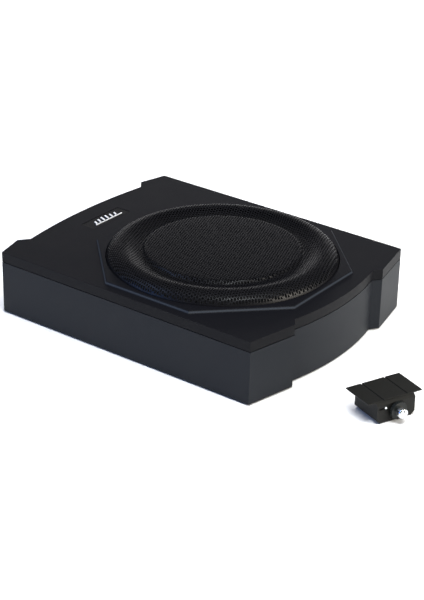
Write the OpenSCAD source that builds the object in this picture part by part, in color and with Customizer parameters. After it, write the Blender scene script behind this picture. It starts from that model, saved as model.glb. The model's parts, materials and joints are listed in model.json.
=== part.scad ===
// Powered under-seat car subwoofer with its remote level control.
// Millimetres, +Z up. The origin is on the floor plane, in the middle of the four floor bolts.
// The long side faces -Y, the control bay is in the -X end, and the driver sits towards +X.

/* [Cabinet] */
// Length of each long side, corner to corner
side_l = 326; // [310:2:340]
// Width over the two long sides
body_w = 279; // [276:1:290]
// Height of the deck above the floor
deck_z = 71; // [70:1:76]
// Depth of the top cover's skirt
skirt_h = 11; // [10:0.5:13]
// Wall of the cast tub
tub_wall = 3.5; // [3:0.25:4]
// Wall of the moulded top cover
cover_wall = 3; // [2.5:0.25:3.25]
// Height of the rubber feet
foot_h = 1.5; // [1:0.25:3]

/* [Ends] */
// How far the corner blocks of the driver end flare out
right_flare = 12.5; // [8:0.5:14]
// Length of the corner blocks of the driver end, along Y
right_block = 57.5; // [50:0.5:62]
// How far the belly of the driver end stands out past the corners
right_belly = 14; // [10:0.5:16]
// How far the corner blocks of the control end flare out
left_flare = 8.5; // [6:0.5:10]
// Length of the corner blocks of the control end, along Y
left_block = 33.5; // [30:0.5:38]
// How far the belly of the control end stands out past the corners
left_belly = 6.5; // [5:0.5:8]

/* [Driver and grille] */
// Place of the driver along X
driver_x = 26; // [20:1:30]
// Radius of the grille's outer edge
grille_r = 124; // [122:0.5:125]
// Half of the plateau's width across its flats
octagon_apothem = 128; // [127.5:0.5:131]
// Height of the plateau above the deck
octagon_h = 2.7; // [2.5:0.1:3.5]
// Height of the grille's outer ridge above the plateau
grille_rise = 11; // [10.5:0.5:12]
// Radius of the cone at the surround
cone_r = 88; // [84:1:89]
// Radius of the voice coil former, inside
former_r = 19.5; // [19.4:0.05:19.55]

/* [Remote] */
// Place of the remote on the floor
remote_pos = [269, -62]; // [200:1:320]
// Turn of the remote on the floor
remote_turn = -22.5; // [-90:0.5:90]
// Width of the remote's winged plate
wing_w = 64; // [60:1:70]
// Depth of the remote's winged plate
wing_d = 38; // [36:1:40]
// Height of the remote over its plate
remote_h = 24; // [23:0.5:26]
// Width of the remote's case
case_w = 45; // [44:1:50]

/* [Hidden] */
$fn = 96;
eps = 0.01;
half_l = side_l / 2;
half_w = body_w / 2;
step_in = 7;              // how far an end steps in beside its corner blocks
step_run = 9.75;          // length of that step along Y
left_step_in = 9;
left_step_run = 11.5;
tub_z = foot_h;
floor_t = 4;
floor_z = tub_z + floor_t;
seam_z = deck_z - skirt_h;
gasket_t = 0.8;
tub_top = seam_z - gasket_t;
deck_t = 3.5;
plateau_z = deck_z + octagon_h;
octagon_chamfer = 2.4;
pocket_r = grille_r + 0.6;
seat_z = deck_z - 5;
seat_t = 3.5;
seat_r = pocket_r + 3;
cutout_r = 104.5;
flange_r = 118;
flange_t = 2.5;
flange_z = seat_z + flange_t;
screw_circle_r = 113;
grille_t = 1;

// Motor stack, from the back plate up
back_z = 8;
back_t = 4;
magnet_t = 12;
front_t = 5;
magnet_r = 48;
pole_r = 19;
gap_r = 21.4;
magnet_z = back_z + back_t;
front_z = magnet_z + magnet_t;
motor_top = front_z + front_t;
former_t = 0.3;
former_top = 46;
spider_z = 37;
shelf_r = 60;

// Control bay in the -X end
bay_x = -half_l + 4;      // outer face of the control panel
panel_t = 1.5;
bay_w = 154;
bay_h = 44;
bay_mid_z = 32;
ledge = 6;
ledge_t = 4;
board_z = 14;
board_t = 1.6;
knob_y = [38, 51, 64];
knob_z = 30;
rca_y = [-22, -6];
rca_z = 28;
port_y = 8;
power_y = -56;
fuse_y = -36;
switch_y = 25;
switch_z = 24;
led_z = 42;

// Floor bolts and cover screws
bolt_x = 124;
bolt_y = 104;
bolt_r = 2.6;
cover_screws_at = [for (sx = [-1, 1], sy = [-1, 1]) [sx * (half_l - 11), sy * (half_w - 11)],
                   for (x = [-62, 112], sy = [-1, 1]) [x, sy * (half_w - 10)]];

// Badge
badge_x = -136;
badge_y = 0;
badge_w = 18;
badge_l = 62;
badge_depth = 1;

// ---------------------------------------------------------------- shapes that repeat

// Points of a shallow arc from a to b that bulges by h to the right of the way from a to b.
function arc_points(a, b, h, n = 16) =
    let (c = norm(b - a), r = (c * c / 4 + h * h) / (2 * h), half = asin(c / 2 / r),
         u = (b - a) / c, v = [u[1], -u[0]], m = (a + b) / 2 - v * (r - h))
    [for (i = [0 : n]) let (t = -half + 2 * half * i / n) m + u * r * sin(t) + v * r * cos(t)];

// The cabinet's outline: straight long sides, flared corner blocks, stepped and bellied ends.
function plan_points() =
    let (rx = half_l + right_flare - step_in, ry = half_w - right_block - step_run,
         lx = -half_l - left_flare + left_step_in, ly = half_w - left_block - left_step_run)
    concat([[half_l, -half_w], [half_l + right_flare, -half_w + right_block]],
           arc_points([rx, -ry], [rx, ry], half_l + right_belly - rx),
           [[half_l + right_flare, half_w - right_block], [half_l, half_w]],
           [[-half_l, half_w], [-half_l - left_flare, half_w - left_block]],
           arc_points([lx, ly], [lx, -ly], half_l + left_belly + lx),
           [[-half_l - left_flare, -half_w + left_block], [-half_l, -half_w]]);

module plan(inset = 0) {
    if (inset > 0) offset(delta = -inset) polygon(plan_points());
    else polygon(plan_points());
}

module prism(z0, z1, inset = 0) {
    translate([0, 0, z0]) linear_extrude(z1 - z0) plan(inset);
}

// A tube swept along a list of points that lie in one XZ plane.
function unit(v) = v / norm(v);
function tangents(p) = [for (i = [0 : len(p) - 1])
    unit(p[min(i + 1, len(p) - 1)] - p[max(i - 1, 0)])];
module tube(p, r, n = 8) {
    t = tangents(p);
    side = [0, 1, 0];
    pts = [for (i = [0 : len(p) - 1], k = [0 : n - 1])
        p[i] + r * (cos(360 * k / n) * side + sin(360 * k / n) * cross(side, t[i]))];
    last = (len(p) - 1) * n;
    walls = [for (i = [0 : len(p) - 2], k = [0 : n - 1], half = [0, 1])
        let (a = i * n + k, b = i * n + (k + 1) % n)
        half == 0 ? [a, b, b + n] : [a, b + n, a + n]];
    ends = [[for (k = [n - 1 : -1 : 0]) k], [for (k = [0 : n - 1]) last + k]];
    polyhedron(pts, concat(walls, ends));
}

module ring(r1, r2, h) {
    difference() {
        cylinder(r = r2, h = h);
        translate([0, 0, -1]) cylinder(r = r1, h = h + 2);
    }
}

module at_driver(z = 0) {
    translate([driver_x, 0, z]) children();
}

module around(count, r, start = 0) {
    for (i = [0 : count - 1]) rotate(start + 360 * i / count) translate([r, 0, 0]) children();
}

module at_bolts() {
    for (sx = [-1, 1], sy = [-1, 1]) translate([sx * bolt_x, sy * bolt_y, 0]) children();
}

module at_cover_screws() {
    for (p = cover_screws_at) translate([p[0], p[1], 0]) children();
}

// Turns a shape so that its +Z points out of the control panel, at height z and place y.
module at_panel(y, z) {
    translate([bay_x, y, z]) rotate([0, -90, 0]) children();
}

module at_remote() {
    translate([remote_pos[0], remote_pos[1], 0]) rotate(remote_turn) children();
}

// A pan-head screw with its head's flat at z = 0 and its shank going down.
module screw(shank_r, head_r, head_h, length) {
    cylinder(r = head_r, h = head_h);
    translate([0, 0, -length]) cylinder(r = shank_r, h = length + eps);
}

// ---------------------------------------------------------------- cabinet

module bottom_tub() color("#2b2e33") {
    difference() {
        union() {
            difference() {
                prism(tub_z, tub_top);
                prism(floor_z, tub_top + 1, tub_wall);
            }
            intersection() {
                prism(tub_z + 1, tub_top - 0.5, 1);
                union() {
                    at_cover_screws() translate([0, 0, tub_z]) cylinder(r = 5.5, h = tub_top - tub_z);
                    at_bolts() translate([0, 0, tub_z]) cylinder(r = 8, h = 13);
                    translate([-half_l - 12, -bay_w / 2 - 4, tub_z + 2])
                        cube([bay_x + panel_t + ledge_t + half_l + 12, bay_w + 8, 52]);
                }
            }
        }
        at_cover_screws() {
            translate([0, 0, tub_z - 1]) cylinder(r = 4.2, h = 4.2);
            translate([0, 0, tub_z]) cylinder(r = 2.2, h = tub_top);
        }
        at_bolts() translate([0, 0, tub_z - 1]) cylinder(r = 4.5, h = 11);
        translate([bay_x - 30, -bay_w / 2, bay_mid_z - bay_h / 2])
            cube([30 + panel_t, bay_w, bay_h]);
        translate([bay_x - 30, -bay_w / 2 + ledge, bay_mid_z - bay_h / 2 + ledge])
            cube([60, bay_w - 2 * ledge, bay_h - 2 * ledge]);
        panel_screw_places() translate([0, 0, -panel_t - ledge_t - 1]) cylinder(r = 1.3, h = ledge_t + 2);
    }
}

module octagon(apothem, h, top_apothem) {
    k = cos(22.5);
    rotate(22.5) cylinder(r1 = apothem / k, r2 = top_apothem / k, h = h, $fn = 8);
}

module top_cover() color("#1b1b1e") {
    difference() {
        union() {
            difference() {
                prism(seam_z, deck_z);
                prism(seam_z - 1, deck_z - deck_t, cover_wall);
            }
            at_driver(deck_z - eps) octagon(octagon_apothem + octagon_chamfer, octagon_h + eps, octagon_apothem);
            at_driver(seat_z - seat_t) cylinder(r = seat_r, h = deck_z - seat_z + seat_t - 1);
            at_cover_screws() translate([0, 0, seam_z]) cylinder(r = 5, h = skirt_h - 1);
        }
        at_driver(seat_z) cylinder(r = pocket_r, h = 30);
        at_driver(seat_z - 10) cylinder(r = cutout_r, h = 30);
        at_driver(seat_z - seat_t - 1) around(8, screw_circle_r, 22.5) cylinder(r = 1.85, h = 6);
        at_cover_screws() translate([0, 0, seam_z - 1]) cylinder(r = 1.65, h = 8);
        translate([badge_x, badge_y, deck_z - badge_depth + 1]) badge_block(0.15, 2);
    }
}

module cover_gasket() color("#0d0d0d") {
    difference() {
        prism(tub_top, seam_z, 1);
        prism(tub_top - 1, seam_z + 1, 2.9);
    }
}

module cover_screws() color("#26272a") {
    at_cover_screws() difference() {
        translate([0, 0, tub_z + 3.2]) rotate([180, 0, 0]) screw(1.6, 3.7, 2.6, seam_z + 2.8 - tub_z);
        translate([0, 0, tub_z - 1]) cylinder(r = 1.2, h = 3, $fn = 6);
    }
}

module rubber_feet() color("#151515") {
    at_bolts() ring(bolt_r, 11, foot_h);
}

// Rivet nuts for M5 bolts, pressed into the tub's bosses.
module floor_inserts() color("#b9a15a") {
    at_bolts() translate([0, 0, tub_z]) ring(bolt_r, 4.5, 9);
}

module badge_block(gap, h) {
    translate([0, 0, -1]) linear_extrude(h) offset(r = 2 + gap) square([badge_w - 4, badge_l - 4], center = true);
}

module badge_plate() color("#141416") {
    translate([badge_x, badge_y, deck_z - badge_depth + 1]) badge_block(0, 0.7);
}

// Six slanted bars in three lengths over a long foot line, as a generic mark.
module badge_emblem() color("#c9cbd0") {
    translate([badge_x, badge_y, deck_z - badge_depth + 0.7]) linear_extrude(0.9) {
        for (i = [-3 : 2]) let (top = 5.2 - 1.2 * abs(i + 0.5))
            polygon([[3, i * 6.6], [-top, i * 6.6 + 2.6], [-top, i * 6.6 + 4.8], [3, i * 6.6 + 2.2]]);
        translate([4.2, -22]) square([1.3, 44]);
    }
}

// ---------------------------------------------------------------- grille

// Height of the pressed grille over the plateau at a share s of its radius.
grille_profile = [[1, -0.25], [0.985, 0.28], [0.955, 0.66], [0.915, 0.9], [0.87, 1], [0.825, 0.93],
                  [0.78, 0.72], [0.74, 0.55], [0.7, 0.5], [0.682, 0.58], [0.67, 0.8], [0.64, 0.86],
                  [0.4, 0.9], [0, 0.92]];

module grille_mesh() color("#222226") {
    at_driver(plateau_z) rotate_extrude() polygon(concat(
        [for (p = grille_profile) [p[0] * grille_r, p[1] * grille_rise]],
        [for (i = [len(grille_profile) - 1 : -1 : 0]) let (p = grille_profile[i])
            [max(0, p[0] * grille_r - grille_t * (i < 3 ? 1 : 0)), p[1] * grille_rise - grille_t * (i < 3 ? 0.4 : 1)]]));
}

module grille_ring() color("#19191b") {
    at_driver(seat_z) ring(flange_r + 0.5, grille_r, plateau_z - 0.25 * grille_rise - 0.4 - seat_z);
}

// ---------------------------------------------------------------- driver

// Wall of the basket: flange, bowl, spider shelf and motor seat.
module speaker_basket() color("#232427") {
    at_driver() difference() {
        rotate_extrude() polygon([
            [gap_r + 1.5, motor_top], [54, motor_top], [62, spider_z - 2.5], [70, spider_z - 2.5],
            [96, 61], [103.5, 62.5], [103.5, seat_z], [flange_r, seat_z], [flange_r, flange_z],
            [101.5, flange_z], [101.5, 64.5], [94.5, 63], [69, spider_z - 0.5],
            [shelf_r - 5, spider_z - 0.5], [shelf_r - 9, motor_top + 2], [gap_r + 1.5, motor_top + 2]]);
        around(6, 82) translate([-9, -19, 30]) cube([18, 38, 40]);
        translate([0, 0, seat_z - 1]) around(8, screw_circle_r, 22.5) cylinder(r = 2.4, h = 6);
    }
}

module basket_gasket() color("#101010") {
    at_driver(flange_z) difference() {
        ring(107.5, flange_r, 1.5);
        translate([0, 0, -1]) around(8, screw_circle_r, 22.5) cylinder(r = 4.6, h = 4);
    }
}

module basket_screws() color("#3a3b3f") {
    at_driver(flange_z) around(8, screw_circle_r, 22.5) difference() {
        screw(1.8, 4.2, 2.2, flange_t + seat_t);
        translate([0, 0, 0.8]) cylinder(r = 1.5, h = 3, $fn = 6);
    }
}

// Half-roll rubber edge between the basket's flange and the cone.
module surround() color("#17171a") {
    roll_mid = 95.5;
    roll_r = 6.5;
    steps = 12;
    at_driver(flange_z) rotate_extrude() polygon(concat(
        [[107, 0], [107, 1.2], [roll_mid + roll_r, 1.2]],
        [for (i = [1 : steps - 1]) let (a = 180 * i / steps) [roll_mid + roll_r * cos(a), 1.2 + 4.2 * sin(a)]],
        [[roll_mid - roll_r, 1.2], [84, 1.2], [84, 0.2], [roll_mid - roll_r + 0.8, 0.2]],
        [for (i = [steps - 1 : -1 : 1]) let (a = 180 * i / steps)
            [roll_mid + (roll_r - 0.8) * cos(a), 0.2 + 4.2 * sin(a)]],
        [[roll_mid + roll_r - 0.8, 0]]));
}

// Corrugated cloth disc that centres the coil.
module spider() color("#8a6f3c") {
    inner = former_r + former_t;
    outer = shelf_r + 6;
    waves = 4;
    steps = 50;
    top = [for (i = [0 : steps]) let (s = i / steps, t = (s - 0.1) / 0.64)
        [inner + (outer - inner) * s, t < 0 || t > 1 ? 0 : 1.1 * sin(360 * waves * t)]];
    at_driver(spider_z) rotate_extrude() polygon(concat(
        [for (p = top) [p[0], p[1] + 0.25]],
        [for (i = [steps : -1 : 0]) [top[i][0], top[i][1] - 0.25]]));
}

module magnet() color("#34353a") {
    at_driver(magnet_z) ring(23, magnet_r, magnet_t);
}

module front_plate() color("#8d9096") {
    at_driver(front_z) ring(gap_r, magnet_r - 2, front_t);
}

module back_plate() color("#8d9096") {
    at_driver(back_z) difference() {
        union() {
            cylinder(r = magnet_r - 3, h = back_t);
            cylinder(r = pole_r, h = motor_top + 1 - back_z);
        }
        translate([0, 0, -1]) cylinder(r = 7, h = 40);
    }
}

module terminal_strip() color("#9c7a3c") {
    at_driver(spider_z - 2.5 - 1.6) {
        translate([-74, -10, 0]) cube([11, 20, 1.6]);
        for (s = [-1, 1]) translate([-79, s * 6 - 1.5, 0.5]) cube([6, 3, 0.6]);
    }
}

module tinsel_leads() color("#b87b45") {
    for (s = [-1, 1]) at_driver()
        tube([[-75, s * 6, 34.1], [-75.3, s * 6, 37], [-75, s * 6, 40], [-73.4, s * 6, 42.8],
              [-70, s * 6, 44.6], [-65, s * 6, 45], [-57, s * 6, 44.2], [-48, s * 6, 42.8],
              [-38, s * 6, 41.6], [-28, s * 6, 41], [-19, s * 6, 41]], 0.7);
}

module cone() color("#1a1a1d") {
    rim_z = flange_z + 0.1;
    at_driver() rotate_extrude() polygon([
        [former_r + former_t, former_top - 3], [cone_r - 6, rim_z - 1.5], [cone_r, rim_z - 1.4], [cone_r, rim_z],
        [cone_r - 6.4, rim_z], [former_r + former_t, former_top - 1.5]]);
}

module dust_cap() color("#202023") {
    cap_r = 34;
    foot_z = 50.1;
    steps = 10;
    at_driver() rotate_extrude() polygon(concat(
        [for (i = [0 : steps]) let (a = 90 * i / steps) [cap_r * cos(a), foot_z + 9 * sin(a)]],
        [for (i = [steps : -1 : 0]) let (a = 90 * i / steps) [(cap_r - 1) * cos(a), foot_z + 8 * sin(a)]]));
}

module coil_former() color("#c6a15a") {
    at_driver(18.5) ring(former_r, former_r + former_t, former_top - 18.5);
}

module voice_coil() color("#b8672f") {
    at_driver(19) ring(former_r + former_t, former_r + former_t + 1, 15);
}

// ---------------------------------------------------------------- amplifier

module amplifier_board() color("#1f4d33") {
    translate([bay_x + 14, -80, board_z]) cube([96, 160, board_t]);
}

module board_standoffs() color("#b9bcc2") {
    for (x = [bay_x + 19, bay_x + 105], y = [-74, 74])
        translate([x, y, floor_z]) cylinder(r = 3, h = board_z - floor_z);
}

module heat_spreader() color("#aeb1b6") {
    translate([-66, -70, board_z + board_t]) {
        cube([4, 140, 16]);
        cube([9, 140, 3]);
    }
}

module power_transistors() color("#18181a") {
    for (i = [0 : 5]) translate([-70.5, -60 + i * 21, board_z + board_t]) cube([4.5, 10, 15]);
}

module board_capacitors() color("#22252e") {
    for (i = [0 : 3]) translate([-84, -54 + i * 22, board_z + board_t]) cylinder(r = 8, h = 22);
}

module output_choke() color("#a6662e") {
    translate([-88, 58, board_z + board_t]) ring(6, 14, 12);
}

module damping_pad() color("#3f3f42") {
    translate([92, -70, floor_z]) cube([60, 140, 5]);
}

// Two leads, from the board to the driver's terminal strip.
module speaker_leads() color("#8c1f1f") {
    for (s = [-1, 1]) translate([driver_x - 77.6, s * 6, 0])
        tube([[-3, 0, board_z + board_t], [-3, 0, 17.5], [-2.7, 0, 20], [-1.6, 0, 23],
              [-0.6, 0, 26], [0, 0, 29], [0, 0, 31.5], [0, 0, spider_z - 3.6]], 1.1);
}

// ---------------------------------------------------------------- control panel

module panel_screw_places() {
    for (y = [-bay_w / 2 + 3, 0, bay_w / 2 - 3], s = [-1, 1])
        at_panel(y, bay_mid_z + s * (bay_h / 2 - 3)) children();
}

module control_panel() color("#17181a") {
    difference() {
        translate([bay_x, -bay_w / 2 + 0.2, bay_mid_z - bay_h / 2 + 0.2])
            cube([panel_t, bay_w - 0.4, bay_h - 0.4]);
        panel_screw_places() translate([0, 0, -5]) cylinder(r = 1.6, h = 10);
        for (y = knob_y) at_panel(y, knob_z) translate([0, 0, -5]) cylinder(r = 3.4, h = 10);
        for (y = rca_y) at_panel(y, rca_z) translate([0, 0, -5]) cylinder(r = 5.2, h = 10);
        panel_window(power_y, 28, 26.2, 18.2);
        panel_window(fuse_y, 28, 10.2, 18.2);
        panel_window(port_y, 27, 14.2, 12.2);
        panel_window(switch_y, switch_z, 9, 4);
        at_panel(switch_y, led_z) translate([0, 0, -5]) cylinder(r = 1.6, h = 10);
    }
}

module panel_window(y, z, w, h) {
    translate([bay_x - 1, y - w / 2, z - h / 2]) cube([panel_t + 2, w, h]);
}

module panel_screws() color("#54565b") {
    panel_screw_places() difference() {
        screw(1.25, 2.6, 1.5, panel_t + ledge_t - 0.5);
        translate([-0.4, -2, 0.7]) cube([0.8, 4, 2]);
    }
}

// A socket shell open towards -X, with its mouth at x0.
module socket_shell(x0, y, z, w, h, depth, wall, mouth_depth) {
    difference() {
        translate([x0, y - w / 2, z - h / 2]) cube([depth, w, h]);
        translate([x0 - 1, y - w / 2 + wall, z - h / 2 + wall]) cube([mouth_depth + 1, w - 2 * wall, h - 2 * wall]);
    }
}

module rca_jacks() color("#c7c9cd") {
    for (y = rca_y) at_panel(y, rca_z) {
        translate([0, 0, -13]) cylinder(r = 5, h = 15);
        translate([0, 0, 2]) ring(1.7, 4.15, 6);
    }
}

module power_socket() color("#dcdcd6") {
    difference() {
        socket_shell(bay_x - 4, power_y, 28, 26, 18, 20, 1.6, 14);
    }
    for (i = [-1 : 1]) translate([bay_x + 1, power_y + i * 6.5 - 0.6, 23.5]) cube([10, 1.2, 2]);
}

module fuse_holder() color("#1c1c1e") {
    socket_shell(bay_x - 1, fuse_y, 28, 10, 18, 16, 1.4, 8);
}

module blade_fuse() color("#d98b1e") {
    translate([bay_x - 4.5, fuse_y - 2, 21.5]) cube([7, 4, 13]);
    for (s = [-1, 1]) translate([bay_x + 2.5, fuse_y - 0.4, 28 + s * 4 - 1.5]) cube([4.3, 0.8, 3]);
}

module remote_socket() color("#202022") {
    socket_shell(bay_x - 0.5, port_y, 27, 14, 12, 16, 1.5, 11);
}

module power_led() color("#3fa7ff") {
    at_panel(switch_y, led_z) {
        translate([0, 0, -6]) cylinder(r = 1.5, h = 7);
        translate([0, 0, 1]) sphere(r = 1.5);
    }
}

module control_pots() color("#2e5aa0") {
    for (y = knob_y) at_panel(y, knob_z) difference() {
        union() {
            translate([-5, -5, -9]) cube([10, 10, 9 - panel_t - 0.1]);
            translate([0, 0, -panel_t - 0.2]) cylinder(r = 3.3, h = panel_t + 1.2);
        }
        translate([0, 0, -8]) cylinder(r = 2.05, h = 12);
    }
}

// A small fluted knob with its spindle.
module fluted_knob(y) {
    at_panel(y, knob_z) {
        translate([0, 0, -7.5]) cylinder(r = 2, h = 8.9);
        difference() {
            translate([0, 0, 1.3]) cylinder(r = 4.6, h = 7);
            for (i = [0 : 11]) rotate(30 * i) translate([5, 0, 0]) cylinder(r = 0.7, h = 12);
            translate([1.4, -0.4, 7.7]) cube([4, 0.8, 2]);
        }
    }
}

module gain_knob() color("#202124") fluted_knob(knob_y[0]);
module crossover_knob() color("#202124") fluted_knob(knob_y[1]);
module boost_knob() color("#202124") fluted_knob(knob_y[2]);

module phase_switch_body() color("#5f6166") {
    difference() {
        translate([bay_x + panel_t + 0.1, switch_y - 8, switch_z - 3.5]) cube([6, 16, 7]);
        translate([bay_x + panel_t - 1, switch_y - 4.3, switch_z - 1.6]) cube([5, 8.6, 3.2]);
    }
}

module phase_switch_lever() color("#e6e6e2") {
    translate([bay_x - 2, switch_y - 4, switch_z - 1.3]) cube([6, 4, 2.6]);
}

// ---------------------------------------------------------------- remote level control

plate_t = 1.6;
case_z = remote_h - plate_t;
back_x = -16;
front_x = wing_d / 2 + 2.5;
case_cut = 4;
case_t = 1.8;
groove_y = 14;
knob_at_z = 12;
case_screw_y = 15;

// Side view of the case: the front leans back under the plate's front edge.
module case_side(inset) {
    polygon([[back_x + inset, inset], [front_x - inset, inset], [front_x - inset, case_z - 2.5],
             [front_x - 2.5 - inset / 2, case_z], [front_x - 2.5 - inset / 2, case_z + inset],
             [back_x + inset, case_z + inset]]);
}

// Front view of the case: flat top, and lower corners cut off.
module case_front(inset) {
    w = case_w / 2 - inset;
    c = case_cut - inset / 2;
    polygon([[-w, c + inset], [-w + c, inset], [w - c, inset], [w, c + inset],
             [w, case_z + inset], [-w, case_z + inset]]);
}

module case_solid(inset) {
    intersection() {
        rotate([90, 0, 0]) translate([0, 0, -50]) linear_extrude(100) case_side(inset);
        translate([-50, 0, 0]) rotate([90, 0, 90]) linear_extrude(100) case_front(inset);
    }
}

// Turns a shape so that its +Z points out of the case's front, on the knob's axis.
module at_knob() {
    at_remote() translate([front_x, 0, knob_at_z]) rotate([0, 90, 0]) children();
}

module remote_plate() color("#161616") {
    at_remote() difference() {
        union() {
            translate([-wing_d / 2, -wing_w / 2, case_z]) cube([wing_d, wing_w, plate_t]);
            for (s = [-1, 1]) translate([-2, s * case_screw_y, case_z - 8]) cylinder(r = 3, h = 8 + plate_t);
        }
        for (s = [-1, 1]) {
            translate([-wing_d / 2 - 1, s * groove_y - 0.8, remote_h - 0.8]) cube([wing_d + 2, 1.6, 2]);
            translate([-wing_d / 2 - 1, s * groove_y - 0.8, case_z - 1]) cube([2, 1.6, 5]);
            translate([-2, s * case_screw_y, case_z - 9]) cylinder(r = 1.35, h = 8.5);
        }
    }
}

module remote_case() color("#161616") {
    at_remote() difference() {
        case_solid(0);
        case_solid(case_t);
        translate([front_x - 6, 0, knob_at_z]) rotate([0, 90, 0]) cylinder(r = 4.1, h = 10);
        translate([back_x - 2, -6.3, 4.7]) cube([6, 12.6, 9.6]);
        translate([front_x - 8, -12.5, 16]) rotate([0, 90, 0]) cylinder(r = 1.05, h = 12);
        translate([front_x - 1.3, -20.5, 15.1]) cube([3, 6, 1.8]);
        for (s = [-1, 1]) translate([-2, s * case_screw_y, -1]) {
            cylinder(r = 1.45, h = 5);
            cylinder(r = 2.7, h = 1.9);
        }
    }
}

module remote_case_screws() color("#3a3b3f") {
    at_remote() for (s = [-1, 1]) translate([-2, s * case_screw_y, 0.9]) difference() {
        rotate([180, 0, 0]) screw(1.3, 2.5, 0.8, case_z - 2.5);
        translate([-0.3, -1.5, -2]) cube([0.6, 3, 1.6]);
    }
}

module remote_board() color("#1f4d33") {
    at_remote() difference() {
        translate([back_x + case_t, -17, case_t + 0.2]) cube([30, 34, 1.2]);
        for (s = [-1, 1]) translate([-2, s * case_screw_y, 0]) cylinder(r = 2.6, h = 6);
    }
}

module remote_pot() color("#8e9095") {
    at_knob() difference() {
        union() {
            translate([-5.5, -6, -case_t - 8]) cube([14, 12, 7.9]);
            translate([0, 0, -case_t - 0.2]) cylinder(r = 4, h = case_t + 1.7);
        }
        translate([0, 0, -case_t - 6]) cylinder(r = 3.05, h = 20);
    }
}

module remote_led() color("#e9f3ff") {
    at_remote() translate([front_x, -12.5, 16]) {
        translate([-6, 0, 0]) rotate([0, 90, 0]) cylinder(r = 1, h = 6);
        sphere(r = 1);
    }
}

module remote_jack() color("#232326") {
    at_remote() difference() {
        translate([back_x + 0.4, -6, 5]) cube([12, 12, 9]);
        translate([back_x - 1, -4.6, 6.2]) cube([10.6, 9.2, 6.6]);
    }
}

// Black skirt and spindle of the level knob.
module remote_knob() color("#0f0f10") {
    at_knob() {
        translate([0, 0, -case_t - 5]) cylinder(r = 3, h = 9);
        difference() {
            translate([0, 0, 1.8]) cylinder(r = 9.2, h = 3.4);
            for (i = [0 : 23]) rotate(15 * i) translate([9.4, 0, 1]) cylinder(r = 0.5, h = 6);
        }
        translate([0, 0, 5]) cylinder(r = 4, h = 2);
    }
}

module remote_knob_cap() color("#d8dadd") {
    at_knob() rotate_extrude() polygon([[0, 7], [4, 7], [4, 5.25], [5.6, 5.25], [5.3, 11.6],
                                        [4.7, 12.6], [2.6, 13], [0, 13.1]]);
}

// ---------------------------------------------------------------- one node at a time

bottom_tub();
top_cover();
cover_gasket();
cover_screws();
rubber_feet();
floor_inserts();
grille_mesh();
grille_ring();
badge_plate();
badge_emblem();
speaker_basket();
basket_gasket();
basket_screws();
surround();
spider();
magnet();
front_plate();
back_plate();
terminal_strip();
tinsel_leads();
cone();
dust_cap();
coil_former();
voice_coil();
amplifier_board();
board_standoffs();
heat_spreader();
power_transistors();
board_capacitors();
output_choke();
speaker_leads();
damping_pad();
control_panel();
panel_screws();
rca_jacks();
power_socket();
fuse_holder();
blade_fuse();
remote_socket();
power_led();
control_pots();
gain_knob();
crossover_knob();
boost_knob();
phase_switch_body();
phase_switch_lever();
remote_plate();
remote_case();
remote_case_screws();
remote_board();
remote_pot();
remote_led();
remote_jack();
remote_knob();
remote_knob_cap();
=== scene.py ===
import json
import math

import bmesh
import bpy
from mathutils import Matrix, Vector


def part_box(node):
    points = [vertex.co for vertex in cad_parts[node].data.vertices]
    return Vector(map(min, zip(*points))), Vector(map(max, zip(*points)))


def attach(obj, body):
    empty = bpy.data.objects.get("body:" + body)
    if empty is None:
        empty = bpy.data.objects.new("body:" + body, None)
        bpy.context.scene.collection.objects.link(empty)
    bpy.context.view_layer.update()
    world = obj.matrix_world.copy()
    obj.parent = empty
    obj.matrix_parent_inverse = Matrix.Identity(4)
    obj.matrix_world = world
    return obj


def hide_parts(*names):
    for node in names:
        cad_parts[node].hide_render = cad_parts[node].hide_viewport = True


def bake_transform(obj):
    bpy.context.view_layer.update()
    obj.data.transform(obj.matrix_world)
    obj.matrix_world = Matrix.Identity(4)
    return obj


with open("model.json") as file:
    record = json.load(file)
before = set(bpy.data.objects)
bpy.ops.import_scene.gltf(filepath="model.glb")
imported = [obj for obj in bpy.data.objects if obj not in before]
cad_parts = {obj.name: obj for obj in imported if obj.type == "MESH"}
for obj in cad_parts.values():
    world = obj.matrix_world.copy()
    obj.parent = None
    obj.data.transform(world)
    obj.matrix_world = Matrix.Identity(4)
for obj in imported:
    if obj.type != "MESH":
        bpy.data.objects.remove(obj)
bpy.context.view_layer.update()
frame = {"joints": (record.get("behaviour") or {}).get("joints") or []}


# ---------------------------------------------------------------- camera
# A long lens off the driver end's near corner, looking down at about 26 degrees with a slight
# roll. The view transform is the plain one, so the white floor stays white.

bpy.ops.object.camera_add(location=(0.9887, -1.3294, 0.8347), rotation=(1.109667, -0.020341, 0.643087))
studio_camera = bpy.context.object
studio_camera.name = "studio_camera"
studio_camera.data.sensor_width = 36
studio_camera.data.lens = 102.05
studio_camera.data.clip_end = 30
bpy.context.scene.camera = studio_camera
bpy.context.scene.view_settings.view_transform = "Standard"


# ---------------------------------------------------------------- tools for the finishes
# Every finish below is written as sums of wires between shader nodes, and starts from one
# principled shader. A relief turns a pattern into small bumps.

object_place = 3
mix_mask, mix_low, mix_high, mix_colour = 0, 6, 7, 2


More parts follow.
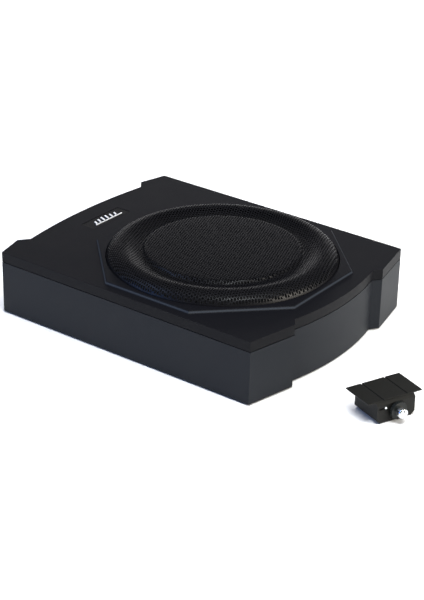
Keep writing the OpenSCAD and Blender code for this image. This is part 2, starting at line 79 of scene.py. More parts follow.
class Wire:
    """A socket of a finish's node tree that can be written in sums."""

    def __init__(self, tree, socket=None):
        self.tree = tree
        self.socket = socket

    def node(self, kind, settings=None, sockets=None, out=0):
        made = self.tree.nodes.new(kind)
        for name, value in (settings or {}).items():
            if name == "stops":
                while len(made.color_ramp.elements) < len(value):
                    made.color_ramp.elements.new(0.5)
                for element, (place, shade) in zip(made.color_ramp.elements, value):
                    element.position = place
                    element.color = (*shade, 1)
            else:
                setattr(made, name, value)
        for name, value in (sockets or {}).items():
            if isinstance(value, Wire):
                self.tree.links.new(value.socket, made.inputs[name])
            else:
                made.inputs[name].default_value = value
        return Wire(self.tree, made.outputs[out])

    def sum(self, operation, a, b):
        return self.node("ShaderNodeMath", {"operation": operation}, {0: a, 1: b})

    def __add__(self, other):
        return self.sum("ADD", self, other)

    def __radd__(self, other):
        return self.sum("ADD", other, self)

    def __sub__(self, other):
        return self.sum("SUBTRACT", self, other)

    def __rsub__(self, other):
        return self.sum("SUBTRACT", other, self)

    def __mul__(self, other):
        return self.sum("MULTIPLY", self, other)

    def __rmul__(self, other):
        return self.sum("MULTIPLY", other, self)

    def place(self):
        return self.node("ShaderNodeTexCoord", out=object_place)

    def noise(self, scale, detail, rough=0.5):
        return self.node("ShaderNodeTexNoise", sockets={"Vector": self.place(), "Scale": scale,
                                                        "Detail": detail, "Roughness": rough})

    def mix(self, mask, low, high):
        sockets = {mix_mask: mask, mix_low: low, mix_high: high}
        return self.node("ShaderNodeMix", {"data_type": "RGBA"}, sockets, mix_colour)

    def shade(self, mask, low, high):
        return self.mix(mask, (*low, 1), (*high, 1))


def start_finish(name, roughness, metallic=0.0, specular=0.5, coat=0.0, coat_roughness=0.1):
    finish = bpy.data.materials.new(name)
    finish.use_nodes = True
    shader = finish.node_tree.nodes["Principled BSDF"]
    shader.inputs["Roughness"].default_value = roughness
    shader.inputs["Metallic"].default_value = metallic
    shader.inputs["Specular IOR Level"].default_value = specular
    shader.inputs["Coat Weight"].default_value = coat
    shader.inputs["Coat Roughness"].default_value = coat_roughness
    return finish, shader, Wire(finish.node_tree)


def feed(wire, shader, socket):
    wire.tree.links.new(wire.socket, shader.inputs[socket])


def relief(height, shader, depth, strength):
    bump = height.node("ShaderNodeBump", sockets={"Height": height, "Distance": depth, "Strength": strength})
    feed(bump, shader, "Normal")


def wear(piece, finish):
    piece.data.materials.clear()
    piece.data.materials.append(finish)


# ---------------------------------------------------------------- studio floor and light
# A white paper sweep, lit by two cool panels on the left, a warm one on the right and a large one
# overhead that no finish mirrors. Two strips, in front and behind, draw the edges.

paper, shader, wire = start_finish("paper_sweep", 0.9, specular=0.1)
feed(wire.shade(wire.noise(3, 2), (0.93, 0.93, 0.93), (0.95, 0.95, 0.95)), shader, "Base Color")
relief(wire.noise(600, 4), shader, 0.0001, 0.2)
bpy.ops.mesh.primitive_plane_add(size=14, location=(0, 0, 0))
sweep = bpy.context.object
sweep.name = "paper_sweep"
wear(sweep, paper)

sky = bpy.data.worlds.new("studio_sky")
bpy.context.scene.world = sky
sky.use_nodes = True
sky.node_tree.nodes["Background"].inputs["Color"].default_value = (1.0, 1.0, 1.0, 1)
sky.node_tree.nodes["Background"].inputs["Strength"].default_value = 0.16

for name, place, aim, width, height, power, tint, mirrored in (
    ("left_panel", (-1.7, -2.2, 0.7), (0, 0, 0.05), 2.2, 0.8, 15, (0.10, 0.32, 1.0), True),
    ("high_left_panel", (-1.4, -1.1, 1.9), (0, 0, 0.08), 0.9, 0.5, 9, (0.42, 0.58, 1.0), True),
    ("right_panel", (2.6, 0.6, 0.9), (0, 0, 0.05), 1.6, 1.2, 60, (1.0, 0.93, 0.82), True),
    ("top_panel", (0.2, -0.1, 2.8), (0, 0, 0), 2.6, 2.6, 110, (1.0, 1.0, 1.0), False),
    ("front_strip", (1.02, -0.54, 2.33), (0, 0, 0.08), 0.9, 0.3, 22, (0.92, 0.98, 1.0), True),
    ("far_strip", (-1.1, 1.9, 0.42), (0, 0, 0.08), 2.4, 0.5, 4.5, (1.0, 0.98, 1.0), True),
):
    bpy.ops.object.light_add(type="AREA", location=place)
    panel = bpy.context.object
    panel.name = name
    panel.rotation_euler = (Vector(aim) - Vector(place)).to_track_quat("-Z", "Y").to_euler()
    panel.data.shape = "RECTANGLE"
    panel.data.size = width
    panel.data.size_y = height
    panel.data.energy = power
    panel.data.color = tint
    panel.visible_glossy = mirrored


# ---------------------------------------------------------------- tools for the pieces
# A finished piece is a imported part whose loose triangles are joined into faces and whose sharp
# edges are rounded off. It then rides on the part's body in place of the plain one.

weld_gap = 0.000004
flat_within = 0.4
sharp_over = 32


def pick(piece):
    bpy.ops.object.select_all(action="DESELECT")
    piece.select_set(True)
    bpy.context.view_layer.objects.active = piece


def put_on(piece, modifier_type, **settings):
    pick(piece)
    modifier = piece.modifiers.new(modifier_type.lower(), modifier_type)
    for name, value in settings.items():
        setattr(modifier, name, value)
    bpy.ops.object.modifier_apply(modifier=modifier.name)


def smooth(piece, angle=35):
    pick(piece)
    bpy.ops.object.shade_smooth_by_angle(angle=math.radians(angle))


def merged_copy(node, name):
    """The shape of a made part, with its loose triangles joined into faces."""
    piece = bpy.data.objects.new(name, bpy.data.objects[node].data.copy())
    bpy.context.collection.objects.link(piece)
    pick(piece)
    bpy.ops.object.mode_set(mode="EDIT")
    bpy.ops.mesh.select_all(action="SELECT")
    bpy.ops.mesh.remove_doubles(threshold=weld_gap)
    bpy.ops.mesh.dissolve_limited(angle_limit=math.radians(flat_within))
    bpy.ops.object.mode_set(mode="OBJECT")
    return piece


def broken_edges(node, body, edge, rounds=2):
    """A part with its sharp edges rounded off, riding on its body in place of the plain one."""
    piece = merged_copy(node, node + "_finished")
    put_on(piece, "BEVEL", width=edge, segments=rounds, limit_method="ANGLE",
           angle_limit=math.radians(sharp_over), harden_normals=False)
    smooth(piece)
    put_on(piece, "WEIGHTED_NORMAL", mode="FACE_AREA", weight=90, keep_sharp=True)
    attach(piece, body)
    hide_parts(node)
    return piece


def powder_coat(name, low, high, grain=900, depth=0.00012, roughness=0.5, specular=0.4):
    finish, shader, wire = start_finish(name, roughness, specular=specular)
    cloud = wire.noise(9, 4, 0.6)
    speck = wire.noise(grain, 2, 0.6)
    feed(wire.shade(cloud * 0.6 + speck * 0.4, low, high), shader, "Base Color")
    feed(roughness - 0.08 + 0.16 * cloud, shader, "Roughness")
    relief(speck, shader, depth, 0.5)
    return finish


# ---------------------------------------------------------------- cast tub
# The lower half of the cabinet: an aluminium casting with flared corner blocks and bellied
# ends, powder coated black. It stands on the car floor and carries everything else.

tub = broken_edges("bottom_tub", "cabinet", 0.0007)
tub_coat = powder_coat("tub_powder_coat", (0.0058, 0.0074, 0.0106), (0.0092, 0.0114, 0.0160), specular=0.155)
wear(tub, tub_coat)


# ---------------------------------------------------------------- moulded top cover
# The deck, moulded in fine grained black: a skirt that matches the tub's outline, an eight-sided
# plateau whose sloping sides bear a pale bluish painted highlight, the grille's pocket and the badge's seat.

cover = broken_edges("top_cover", "cabinet", 0.0006)
cover_grain_and_highlight, shader, wire = start_finish("cover_grain_and_highlight", 0.5, specular=0.10)
badge_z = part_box("badge_plate")[1].z
plateau_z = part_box("top_cover")[1].z
cloud = wire.noise(9, 4, 0.6)
speck = wire.noise(1400, 2, 0.6)
grained = wire.shade(cloud * 0.6 + speck * 0.4, (0.0028, 0.0029, 0.0042), (0.0048, 0.0050, 0.0068))
height = wire.node("ShaderNodeSeparateXYZ", sockets={"Vector": wire.place()}, out=2)
edge_mask = wire.node("ShaderNodeMapRange", {"interpolation_type": "SMOOTHSTEP"}, {
    "Value": height, "From Min": badge_z + 0.0004, "From Max": plateau_z - 0.0001})
# The plateau's sloping sides are painted paler and bluish: a painted highlight where the lamps catch them.
painted_flank_highlight = edge_mask * (1 - edge_mask) * 4
feed(wire.mix(painted_flank_highlight, grained, (0.026, 0.031, 0.040, 1)), shader, "Base Color")
feed(0.42 + 0.16 * cloud - 0.12 * painted_flank_highlight, shader, "Roughness")
relief(speck, shader, 0.00008, 0.5)
wear(cover, cover_grain_and_highlight)


# ---------------------------------------------------------------- perforated grille
# One sheet of steel, punched in staggered rows with small six-sided holes that read as round, and
# pressed into a broad ridge, a groove, a small step and a flat middle. Its edge is left plain.

middle = (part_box("grille_mesh")[0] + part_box("grille_mesh")[1]) / 2
grille_x, grille_y = middle.x, middle.y
grille_r = (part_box("grille_mesh")[1].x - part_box("grille_mesh")[0].x) / 2
grille_press = ((0.0, 10.1), (0.4, 9.9), (0.64, 9.4), (0.67, 8.8), (0.682, 6.4), (0.70, 5.5),
                (0.74, 6.1), (0.78, 7.9), (0.825, 10.2), (0.87, 11.0), (0.915, 9.9), (0.955, 7.3),
                (0.985, 3.1), (1.0, -2.75))
hem_steepness = 1.6


def press_height(r):
    """Height of the pressed sheet, eased between bends that are in millimetres over the plateau."""
    share = min(max(r / grille_r, 0), 1)
    spots = grille_press
    for i in range(len(spots) - 1):
        if share <= spots[i + 1][0]:
            break
    (x0, z0), (x1, z1) = spots[i], spots[i + 1]

    def slope(k):
        if k <= 0 or k >= len(spots) - 1:
            return 0.0
        return (spots[k + 1][1] - spots[k - 1][1]) / (spots[k + 1][0] - spots[k - 1][0])

    run = x1 - x0
    t = (share - x0) / run
    m0 = slope(i) * run
    m1 = slope(i + 1) * run if i + 1 < len(spots) - 1 else (z1 - z0) * hem_steepness
    h = ((2 * t**3 - 3 * t**2 + 1) * z0 + (t**3 - 2 * t**2 + t) * m0
         + (3 * t**2 - 2 * t**3) * z1 + (t**3 - t**2) * m1)
    return plateau_z + 0.001 * h


hole_pitch = 0.00326
hole_web = 0.00042
punched_r = 0.1236
sheet_thick = 0.0008
row_turn = math.radians(-9.9)
root3 = math.sqrt(3)

bpy.ops.mesh.primitive_circle_add(vertices=6, radius=hole_pitch / root3, fill_type="NGON",
                                  location=(0, 0, 0))
sheet = bpy.context.object
sheet.name = "punched_sheet"
pick(sheet)
bpy.ops.object.mode_set(mode="EDIT")
bpy.ops.mesh.select_all(action="SELECT")
bpy.ops.mesh.inset(thickness=hole_web)
bpy.ops.mesh.delete(type="FACE")
bpy.ops.object.mode_set(mode="OBJECT")
rows = int(punched_r / (hole_pitch * root3)) + 1
columns = int(punched_r / hole_pitch) + 1
for count, step in ((2, (hole_pitch / 2, hole_pitch * root3 / 2, 0)),
                    (2 * columns + 1, (hole_pitch, 0, 0)),
                    (2 * rows + 1, (0, hole_pitch * root3, 0))):
    put_on(sheet, "ARRAY", count=count, use_relative_offset=False, use_constant_offset=True,
           constant_offset_displace=step, use_merge_vertices=True, merge_threshold=0.00001)
to_middle = Matrix.Translation((-columns * hole_pitch, -rows * hole_pitch * root3, 0))
sheet.data.transform(Matrix.Rotation(row_turn, 4, "Z") @ to_middle)
pick(sheet)
bpy.ops.object.mode_set(mode="EDIT")
bpy.ops.mesh.select_all(action="DESELECT")
edit = bmesh.from_edit_mesh(sheet.data)
for face in edit.faces:
    face.select = face.calc_center_median().to_2d().length > punched_r
bmesh.update_edit_mesh(sheet.data)
bpy.ops.mesh.delete(type="FACE")
bpy.ops.mesh.select_all(action="SELECT")
bpy.ops.mesh.delete_loose()
bpy.ops.object.mode_set(mode="OBJECT")
for vertex in sheet.data.vertices:
    pressed_z = press_height(vertex.co.to_2d().length)
    vertex.co = Vector((grille_x + vertex.co.x, grille_y + vertex.co.y, pressed_z))
put_on(sheet, "SOLIDIFY", thickness=sheet_thick, offset=-1)
smooth(sheet, 40)


def lathe(name, centre, profile, sides):
    """A turned piece: a circle drawn out from ring to ring along its profile of radius and height."""
    x, y = centre
    radius, height = profile[0]
    bpy.ops.mesh.primitive_circle_add(vertices=sides, radius=radius, location=(0, 0, 0))
    piece = bpy.context.object
    piece.name = name
    bpy.ops.object.mode_set(mode="EDIT")
    bpy.ops.mesh.select_all(action="SELECT")
    bpy.ops.transform.translate(value=(x, y, height))
    for next_radius, next_height in profile[1:]:
        bpy.ops.mesh.extrude_edges_move(TRANSFORM_OT_translate={"value": (0, 0, next_height - height)})
        if abs(next_radius - radius) > 1e-9:
            size = next_radius / radius
            bpy.ops.transform.resize(value=(size, size, 1), center_override=(x, y, next_height))
        radius, height = next_radius, next_height
    bpy.ops.mesh.select_all(action="SELECT")
    bpy.ops.mesh.remove_doubles(threshold=0.000005)
    bpy.ops.mesh.normals_make_consistent(inside=False)
    bpy.ops.object.mode_set(mode="OBJECT")
    return piece


rim_lift = 0.00012
rim_top = [(0.0001 * k, press_height(0.0001 * k) + rim_lift) for k in range(1228, 1241, 3)]
rim_low = [(r - 0.0009, z - 0.0004) for r, z in reversed(rim_top)]
rim = lathe("grille_plain_rim", (grille_x, grille_y), rim_top + rim_low + rim_top[:1], 192)
smooth(rim, 50)
pick(sheet)
rim.select_set(True)
bpy.ops.object.join()
sheet.name = "perforated_grille"


def satin_enamel(name, low, high, roughness=0.32, specular=0.5, coat=0.0):
    finish, shader, wire = start_finish(name, roughness, specular=specular, coat=coat, coat_roughness=0.2)
    cloud = wire.noise(30, 3, 0.6)
    peel = wire.noise(700, 2, 0.5)
    feed(wire.shade(cloud, low, high), shader, "Base Color")
    feed(roughness - 0.06 + 0.12 * peel, shader, "Roughness")
    relief(peel, shader, 0.00005, 0.4)
    return finish


grille_enamel = satin_enamel("grille_enamel", (0.0032, 0.0032, 0.0044), (0.0060, 0.0060, 0.0078), 0.36, 0.28)
wear(sheet, grille_enamel)
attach(sheet, "cabinet")
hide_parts("grille_mesh")


# ---------------------------------------------------------------- badge
# A gloss black plate let into the deck, with a row of bright slanted bars standing on it.

badge = broken_edges("badge_plate", "cabinet", 0.0003)
badge_gloss = satin_enamel("badge_gloss", (0.0020, 0.0020, 0.0026), (0.0036, 0.0036, 0.0044), 0.3, 0.12)
wear(badge, badge_gloss)


def bright_metal(name, low, high, roughness=0.2, brushed=0.0, metallic=1.0):
    finish, shader, wire = start_finish(name, roughness, metallic=metallic)
    cloud = wire.noise(60, 3, 0.6)
    hair = wire.noise(500 + 900 * brushed, 4, 0.7)
    feed(wire.shade(cloud * 0.5 + hair * 0.5, low, high), shader, "Base Color")
    feed(roughness - 0.05 + 0.1 * hair, shader, "Roughness")
    relief(hair, shader, 0.00002, 0.06 + 0.6 * brushed)
    return finish


bars = broken_edges("badge_emblem", "cabinet", 0.00015)
bar_silver = bright_metal("bar_silver", (0.84, 0.85, 0.88), (0.95, 0.95, 0.97), 0.4, 0.0, 0.4)
wear(bars, bar_silver)


# ---------------------------------------------------------------- remote: plate and case
# A black moulded box with wings: the plate overhangs the case on both sides and has two grooves
# that mark its three fields. Two screws hold the plate down from below.

remote_plate = broken_edges("remote_plate", "remote", 0.00035)
remote_case = broken_edges("remote_case", "remote", 0.0005)
remote_grain = powder_coat("remote_grain", (0.006, 0.006, 0.0055), (0.011, 0.011, 0.010), 1600,
                           0.00008, 0.55, 0.16)
for piece in (remote_plate, remote_case):
    wear(piece, remote_grain)


# ---------------------------------------------------------------- remote: level knob
# A black skirt on its spindle, with a bright plated cap pressed over it and an inlaid black pointer.

skirt = broken_edges("remote_knob", "remote_level_knob", 0.00025)
knob_satin = satin_enamel("knob_satin", (0.005, 0.006, 0.006), (0.009, 0.011, 0.010), 0.42, 0.25)
wear(skirt, knob_satin)
cap = broken_edges("remote_knob_cap", "remote_level_knob", 0.0003)
cap_chrome = bright_metal("cap_chrome", (0.62, 0.64, 0.66), (0.78, 0.80, 0.82), 0.12)
wear(cap, cap_chrome)

level_turn = next(joint for joint in frame["joints"] if joint["name"] == "level_turn")
level_axis = Vector(level_turn["axis"]).normalized()
cap_reach = 0.01275
pointer_rise = Vector((0, 0, 0.0031))
bpy.ops.mesh.primitive_cube_add(size=1, location=(0, 0, 0))
level_pointer = bpy.context.object
level_pointer.name = "level_pointer"
pointer_place = Matrix.Translation(Vector(level_turn["pos_m"]) + level_axis * cap_reach + pointer_rise)
pointer_turn = level_axis.to_track_quat("X", "Z").to_matrix().to_4x4()
level_pointer.data.transform(pointer_place @ pointer_turn @ Matrix.Diagonal((0.0006, 0.0008, 0.0026, 1)))
wear(level_pointer, knob_satin)
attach(level_pointer, "remote_level_knob")


# ---------------------------------------------------------------- remote: what the case holds
# A small green board with the level control soldered to its front edge, a clear indicator beside
# the knob, and the cable socket at the back. Two self-tapping screws close the case from below.


def lacquer_board(name, low, high):
    """Green board: pale copper tracks under a glossy mask, in a staggered pattern."""
    finish, shader, wire = start_finish(name, 0.35, specular=0.5)
    tracks = wire.node("ShaderNodeTexBrick", {"offset": 0.37}, {
        "Vector": wire.place(), "Scale": 90.0, "Mortar Size": 0.09, "Mortar Smooth": 0.2}, out=1)
    feed(wire.shade(tracks * 0.7 + wire.noise(80, 3) * 0.3, low, high), shader, "Base Color")
    feed(0.30 + 0.15 * wire.noise(200, 3), shader, "Roughness")
    relief(tracks, shader, 0.00004, 0.5)
    return finish


def spark(name, low, high, light, strength):
    """Clear lens lit from within, its glow varying a little across it."""
    finish, shader, wire = start_finish(name, 0.15, specular=0.5)
    swirl = wire.noise(300, 3)
    feed(wire.shade(swirl, low, high), shader, "Base Color")
    feed(wire.shade(swirl, light, (1, 1, 1)), shader, "Emission Color")
    shader.inputs["Emission Strength"].default_value = strength
    feed(0.1 + 0.15 * swirl, shader, "Roughness")
    return finish


remote_board = broken_edges("remote_board", "remote", 0.0001)
board_mask = lacquer_board("board_mask", (0.010, 0.060, 0.028), (0.030, 0.120, 0.060))
wear(remote_board, board_mask)

remote_pot = broken_edges("remote_pot", "remote", 0.0002)
can_steel = bright_metal("can_steel", (0.30, 0.31, 0.32), (0.48, 0.49, 0.50), 0.35, 0.5)
wear(remote_pot, can_steel)

remote_light = broken_edges("remote_led", "remote", 0.00005)
white_spark = spark("white_spark", (0.75, 0.80, 0.85), (0.90, 0.93, 0.96), (0.80, 0.90, 1.0), 0.9)
wear(remote_light, white_spark)

remote_jack = broken_edges("remote_jack", "remote", 0.0002)
socket_black = powder_coat("socket_black", (0.006, 0.006, 0.007), (0.012, 0.012, 0.013), 1200, 0.00005, 0.42)
wear(remote_jack, socket_black)

black_zinc = bright_metal("black_zinc", (0.030, 0.031, 0.034), (0.075, 0.076, 0.082), 0.4, 0.3)
remote_screws = broken_edges("remote_case_screws", "remote", 0.00012)
wear(remote_screws, black_zinc)


# ---------------------------------------------------------------- seam, feet and floor fixings
# A thin foam cord fills the seam between tub and cover. Eight long black screws hold the cover from
# below, and four brass rivet nuts in the corner blocks sit over rubber rings on the floor.


def soft_black(name, low, high, grain=500, depth=0.0002, roughness=0.85):
    finish, shader, wire = start_finish(name, roughness, specular=0.2)
    cells = wire.noise(grain, 4, 0.7)
    feed(wire.shade(cells, low, high), shader, "Base Color")
    feed(roughness - 0.1 + 0.15 * cells, shader, "Roughness")
    relief(cells, shader, depth, 0.6)
    return finish


seam_foam = soft_black("seam_foam", (0.004, 0.004, 0.004), (0.010, 0.010, 0.010), 900)
seam = broken_edges("cover_gasket", "cabinet", 0.0002)
wear(seam, seam_foam)

long_screws = broken_edges("cover_screws", "cabinet", 0.0002)
wear(long_screws, black_zinc)

foot_rubber = soft_black("foot_rubber", (0.008, 0.008, 0.008), (0.016, 0.016, 0.016), 700, 0.0001)
feet = broken_edges("rubber_feet", "cabinet", 0.0003)
wear(feet, foot_rubber)

rivet_brass = bright_metal("rivet_brass", (0.52, 0.38, 0.16), (0.70, 0.54, 0.25), 0.3, 0.4)
rivet_nuts = broken_edges("floor_inserts", "cabinet", 0.0003)
wear(rivet_nuts, rivet_brass)


# ---------------------------------------------------------------- driver frame
# A pressed steel basket hangs in the cover's pocket. Eight screws through a foam ring hold its
# flange, and a steel hoop under the grille's edge keeps the sheet off the moving parts.

basket_coat = powder_coat("basket_coat", (0.006, 0.006, 0.007), (0.011, 0.011, 0.012), 700,
                          0.0001, 0.45, 0.25)
basket = broken_edges("speaker_basket", "cabinet", 0.0003)
wear(basket, basket_coat)

hoop = broken_edges("grille_ring", "cabinet", 0.0003)
hoop_coat = powder_coat("hoop_coat", (0.004, 0.004, 0.005), (0.008, 0.008, 0.009), 900, 0.00008, 0.5, 0.2)
wear(hoop, hoop_coat)

ring_foam = soft_black("ring_foam", (0.004, 0.004, 0.004), (0.009, 0.009, 0.009), 800)
ring = broken_edges("basket_gasket", "cabinet", 0.0002)
wear(ring, ring_foam)

flange_screws = broken_edges("basket_screws", "cabinet", 0.00025)
wear(flange_screws, black_zinc)


# ---------------------------------------------------------------- moving cone
# Pressed paper pulp with a domed cap glued over the coil. Brown film carries the copper coil into
# the magnet's gap, and everything here rises and falls together.


def pulp(name, low, high):
    finish, shader, wire = start_finish(name, 0.8, specular=0.2)
    fibres = wire.node("ShaderNodeTexNoise", sockets={
        "Vector": wire.place(), "Scale": 260.0, "Detail": 6.0, "Distortion": 1.5})
    feed(wire.shade(fibres, low, high), shader, "Base Color")
    feed(0.7 + 0.2 * fibres, shader, "Roughness")
    relief(fibres, shader, 0.0002, 0.5)
    return finish


cone_pulp = pulp("cone_pulp", (0.004, 0.004, 0.0045), (0.010, 0.010, 0.011))
for node in ("cone", "dust_cap"):
    moving = broken_edges(node, "cone_assembly", 0.0002)
    wear(moving, cone_pulp)

brown_film = satin_enamel("brown_film", (0.30, 0.16, 0.05), (0.42, 0.24, 0.09), 0.3, 0.5)
former = broken_edges("coil_former", "cone_assembly", 0.0001)
wear(former, brown_film)


wave_bands = 20


def wound(name, low, high, turns_per_metre, axis):
    """Copper laid turn by turn along one axis."""
    finish, shader, wire = start_finish(name, 0.3, metallic=0.9)
    turns = wire.node("ShaderNodeTexWave", {"bands_direction": axis}, {
        "Vector": wire.place(), "Scale": turns_per_metre / wave_bands, "Distortion": 0.2})
    feed(wire.shade(turns * 0.7 + wire.noise(90, 3) * 0.3, low, high), shader, "Base Color")
    feed(0.28 + 0.15 * wire.noise(300, 2), shader, "Roughness")
    relief(turns, shader, 0.0001, 0.7)
    return finish


coil_wire = wound("coil_wire", (0.30, 0.10, 0.035), (0.62, 0.26, 0.11), 3000, "Z")
coil = broken_edges("voice_coil", "cone_assembly", 0.0002)
wear(coil, coil_wire)


# ---------------------------------------------------------------- edge and centring cloth
# A half roll of rubber joins the cone to the flange, and a waved disc of resin-dipped cloth centres
# the coil. Both give as the cone moves, and each is cut here into separate sectors.


def flexing_ring(node, finish, count=24):
    whole = merged_copy(node, node + "_whole")
    smooth(whole, 50)
    wear(whole, finish)
    for i in range(count):
        middle_turn = 2 * math.pi * i / count
        sector = bpy.data.objects.new(f"{node}_{i + 1:02d}", whole.data.copy())
        bpy.context.collection.objects.link(sector)
        pick(sector)
        bpy.ops.object.mode_set(mode="EDIT")
        for side in (-1, 1):
            edge_turn = middle_turn + side * math.pi / count
            bpy.ops.mesh.select_all(action="SELECT")
            bpy.ops.mesh.bisect(plane_co=(grille_x, grille_y, 0), use_fill=True, clear_outer=True,
                                plane_no=(-side * math.sin(edge_turn), side * math.cos(edge_turn), 0))
        bpy.ops.object.mode_set(mode="OBJECT")
        smooth(sector, 50)
        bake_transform(sector)
        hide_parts(node)
    bpy.data.objects.remove(whole)


roll_rubber = soft_black("roll_rubber", (0.005, 0.005, 0.006), (0.010, 0.010, 0.011), 500, 0.0001, 0.6)
flexing_ring("surround", roll_rubber, 48)


def woven(name, low, high, threads=900):
    finish, shader, wire = start_finish(name, 0.85, specular=0.2)
    place = wire.place()
    warp, weft = (wire.node("ShaderNodeTexWave", {"bands_direction": axis}, {
        "Vector": place, "Scale": threads / wave_bands}) for axis in "XY")
    weave = warp * 0.5 + weft * 0.5
    feed(wire.shade(weave * 0.6 + wire.noise(60, 3) * 0.4, low, high), shader, "Base Color")
    feed(0.75 + 0.2 * weave, shader, "Roughness")
    relief(weave, shader, 0.0001, 0.6)
    return finish


dipped_cloth = woven("dipped_cloth", (0.16, 0.10, 0.035), (0.30, 0.20, 0.08))
flexing_ring("spider",
             dipped_cloth)


# ---------------------------------------------------------------- motor
# A ferrite ring between two turned steel plates, bolted up under the basket. A strip of board with
# two tags takes the leads, and two braided wires hang from it to the coil.

ferrite = powder_coat("ferrite", (0.020, 0.020, 0.022), (0.045, 0.045, 0.048), 400, 0.0002, 0.55)
magnet = broken_edges("magnet", "cabinet", 0.0006)
wear(magnet, ferrite)

turned_steel = bright_metal("turned_steel", (0.42, 0.43, 0.45), (0.60, 0.61, 0.62), 0.3, 0.8)
for node in ("front_plate", "back_plate"):
    plate = broken_edges(node, "cabinet", 0.0005)
    wear(plate, turned_steel)

tag_strip = broken_edges("terminal_strip", "cabinet", 0.00015)
tag_brass = bright_metal("tag_brass", (0.40, 0.28, 0.12), (0.62, 0.46, 0.20), 0.35, 0.4)
wear(tag_strip, tag_brass)

tinsel = merged_copy("tinsel_leads", "tinsel_leads_braided")
smooth(tinsel, 60)
tinsel_braid = wound("tinsel_braid", (0.35, 0.16, 0.06), (0.70, 0.36, 0.17), 2400, "DIAGONAL")
wear(tinsel, tinsel_braid)
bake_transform(tinsel)
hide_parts("tinsel_leads")


# ---------------------------------------------------------------- amplifier
# One green board on four nickel pillars. Six transistors are clamped to an aluminium angle, four
# sleeved capacitors stand in a row, and a copper ring choke lies at the end. Two red leads and a
# felt pad go with them.

board = broken_edges("amplifier_board", "cabinet", 0.0002)
wear(board, board_mask)

pillar_nickel = bright_metal("pillar_nickel", (0.60, 0.59, 0.56), (0.76, 0.75, 0.72), 0.2, 0.2)
pillars = broken_edges("board_standoffs", "cabinet", 0.0002)
wear(pillars, pillar_nickel)

raw_aluminium = bright_metal("raw_aluminium", (0.60, 0.61, 0.62), (0.76, 0.77, 0.78), 0.35, 1.0)
angle_bar = broken_edges("heat_spreader", "cabinet", 0.0003)
wear(angle_bar, raw_aluminium)

epoxy_black = powder_coat("epoxy_black", (0.008, 0.008, 0.009), (0.018, 0.018, 0.019), 900, 0.0001, 0.5)
transistors = broken_edges("power_transistors", "cabinet", 0.0003)
wear(transistors, epoxy_black)

sleeve = satin_enamel("sleeve", (0.010, 0.012, 0.028), (0.020, 0.024, 0.050), 0.3)
capacitors = broken_edges("board_capacitors", "cabinet", 0.0008, 3)
wear(capacitors, sleeve)

choke_wire = wound("choke_wire", (0.30, 0.10, 0.04), (0.62, 0.26, 0.12), 700, "DIAGONAL")
choke = broken_edges("output_choke", "cabinet", 0.0015, 4)
wear(choke, choke_wire)

lead_sleeve = satin_enamel("lead_sleeve", (0.22, 0.010, 0.008), (0.36, 0.022, 0.016), 0.4)
leads = merged_copy("speaker_leads", "speaker_leads_sleeved")
smooth(leads, 60)
wear(leads, lead_sleeve)
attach(leads, "cabinet")
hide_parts("speaker_leads")

felt = soft_black("felt", (0.030, 0.030, 0.033), (0.090, 0.090, 0.095), 350, 0.0006, 0.95)
felt_pad = broken_edges("damping_pad", "cabinet", 0.0012, 3)
wear(felt_pad, felt)


# ---------------------------------------------------------------- control panel
# A black enamelled steel plate let into the cabinet's end and held by six screws. Pale printed ticks
# ring the three controls, and thin frames mark the sockets.

panel = broken_edges("control_panel", "cabinet", 0.0002)
panel_enamel = powder_coat("panel_enamel", (0.007, 0.007, 0.008), (0.013, 0.013, 0.014), 1100,
                           0.00006, 0.42, 0.3)
wear(panel, panel_enamel)

panel_screws = broken_edges("panel_screws", "cabinet", 0.00015)
wear(panel_screws, black_zinc)

print_depth = 0.00006
print_sink = 0.00001
first_tick, tick_step, tick_count = -150, 30, 11
panel_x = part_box("control_panel")[0].x
print_marks = []


def print_bar(y, z, width, height, turn=0.0):
    """A printed bar on the panel's face, turned about its middle."""
    bpy.ops.mesh.primitive_cube_add(size=1, location=(0, 0, 0))
    bar = bpy.context.object
    place = Matrix.Translation((panel_x - print_depth / 2 + print_sink, y, z))
    size = Matrix.Diagonal((print_depth, width, height, 1))
    bar.data.transform(place @ Matrix.Rotation(turn, 4, "X") @ size)
    print_marks.append(bar)


for knob in ("gain_knob", "crossover_knob", "boost_knob"):
    knob_middle = (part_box(knob)[0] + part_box(knob)[1]) / 2
    for i in range(tick_count):
        turn = math.radians(first_tick + tick_step * i)
        reach, length = (0.0056, 0.0009) if i % 5 else (0.0058, 0.0013)
        print_bar(knob_middle.y + reach * math.sin(turn), knob_middle.z + reach * math.cos(turn),
                  0.0004, length, -turn)
    print_bar(knob_middle.y, knob_middle.z - 0.0090, 0.0100, 0.0005)
for socket, margin in (("power_socket", 0.0012), ("fuse_holder", 0.0010), ("remote_socket", 0.0010)):
    low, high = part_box(socket)
    y_mid, z_mid = (low.y + high.y) / 2, (low.z + high.z) / 2
    wide, tall = high.y - low.y + 2 * margin, high.z - low.z + 2 * margin
    for side in (-1, 1):
        print_bar(y_mid, z_mid + side * tall / 2, wide + 0.0003, 0.0003)
        print_bar(y_mid + side * wide / 2, z_mid, 0.0003, tall)
pick(print_marks[0])
for bar in print_marks:
    bar.select_set(True)
bpy.ops.object.join()
panel_print = bpy.context.object
panel_print.name = "panel_print"
print_white = satin_enamel("print_white", (0.50, 0.50, 0.48), (0.68, 0.68, 0.66), 0.5, 0.3)
wear(panel_print, print_white)
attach(panel_print, "cabinet")


# ---------------------------------------------------------------- sockets, fuse and lamp
# Two nickel line inputs with a white and a red collar, a white nylon power inlet, and black shells
# for the amber blade fuse and the remote's cable. A small blue lamp sits over the switch.

socket_nickel = bright_metal("socket_nickel", (0.60, 0.59, 0.57), (0.78, 0.77, 0.75), 0.18, 0.1)
jacks = broken_edges("rca_jacks", "cabinet", 0.0003)
wear(jacks, socket_nickel)

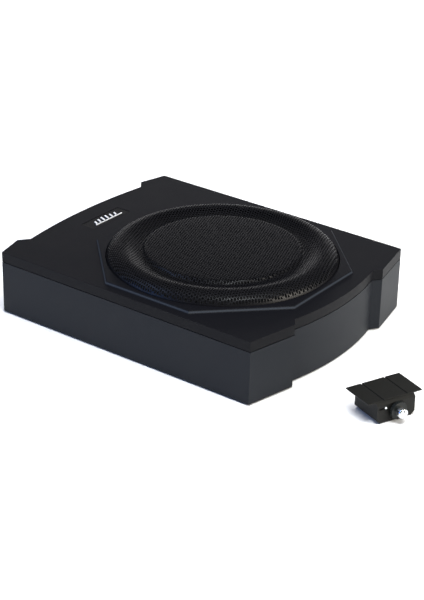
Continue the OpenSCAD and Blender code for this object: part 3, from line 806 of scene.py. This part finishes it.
jack_low, jack_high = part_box("rca_jacks")
jack_z = (jack_low.z + jack_high.z) / 2
nylon_white = satin_enamel("nylon_white", (0.60, 0.60, 0.56), (0.74, 0.74, 0.70), 0.45)
collar_red = satin_enamel("collar_red", (0.36, 0.010, 0.010), (0.50, 0.020, 0.016), 0.4)
for name, y, finish, slot in (("left_collar", jack_high.y - 0.005, nylon_white, "socket_white"),
                              ("right_collar", jack_low.y + 0.005, collar_red, "lead_red")):
    bpy.ops.mesh.primitive_cylinder_add(vertices=48, radius=0.0052, depth=0.0006, location=(0, 0, 0))
    collar = bpy.context.object
    collar.name = name
    bpy.ops.object.mode_set(mode="EDIT")
    bpy.ops.mesh.select_all(action="DESELECT")
    edit = bmesh.from_edit_mesh(collar.data)
    for face in edit.faces:
        face.select = abs(face.normal.z) > 0.9
    bmesh.update_edit_mesh(collar.data)
    bpy.ops.mesh.inset(thickness=0.0009)
    bpy.ops.mesh.bridge_edge_loops()
    bpy.ops.mesh.select_all(action="SELECT")
    bpy.ops.mesh.normals_make_consistent(inside=False)
    bpy.ops.object.mode_set(mode="OBJECT")
    place = Matrix.Translation((jack_low.x + 0.0057, y, jack_z))
    collar.data.transform(place @ Matrix.Rotation(math.pi / 2, 4, "Y"))
    smooth(collar)
    wear(collar, finish)
    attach(collar, "cabinet")

inlet = broken_edges("power_socket", "cabinet", 0.0003)
wear(inlet, nylon_white)

for node in ("fuse_holder", "remote_socket"):
    shell = broken_edges(node, "cabinet", 0.0002)
    wear(shell, socket_black)

fuse_amber = satin_enamel("fuse_amber", (0.62, 0.22, 0.02), (0.78, 0.32, 0.04), 0.25, 0.5, 0.3)
fuse = broken_edges("blade_fuse", "cabinet", 0.0002)
wear(fuse, fuse_amber)

blue_spark = spark("blue_spark", (0.05, 0.25, 0.70), (0.10, 0.40, 0.90), (0.10, 0.45, 1.0), 1.5)
lamp = broken_edges("power_led", "cabinet", 0.00005)
wear(lamp, blue_spark)


# ---------------------------------------------------------------- controls
# Three fluted black knobs with pale pointers turn in blue-bodied controls behind the panel. Below
# the lamp, a slide with a white lever swaps the phase.

pot_blue = satin_enamel("pot_blue", (0.020, 0.070, 0.26), (0.035, 0.110, 0.38), 0.4)
pots = broken_edges("control_pots", "cabinet", 0.0003)
wear(pots, pot_blue)

for node in ("gain_knob", "crossover_knob", "boost_knob"):
    knob = broken_edges(node, node, 0.0002)
    wear(knob, knob_satin)
    knob_low, knob_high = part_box(node)
    bpy.ops.mesh.primitive_cube_add(size=1, location=(0, 0, 0))
    pointer = bpy.context.object
    pointer.name = node + "_pointer"
    place = Matrix.Translation((knob_low.x + 0.0004, (knob_low.y + knob_high.y) / 2,
                                (knob_low.z + knob_high.z) / 2 + 0.0029))
    pointer.data.transform(place @ Matrix.Diagonal((0.0004, 0.00078, 0.0030, 1)))
    wear(pointer, print_white)
    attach(pointer, node)

switch_can = broken_edges("phase_switch_body", "cabinet", 0.0002)
wear(switch_can, can_steel)
lever = broken_edges("phase_switch_lever", "phase_switch", 0.0003)
wear(lever, nylon_white)
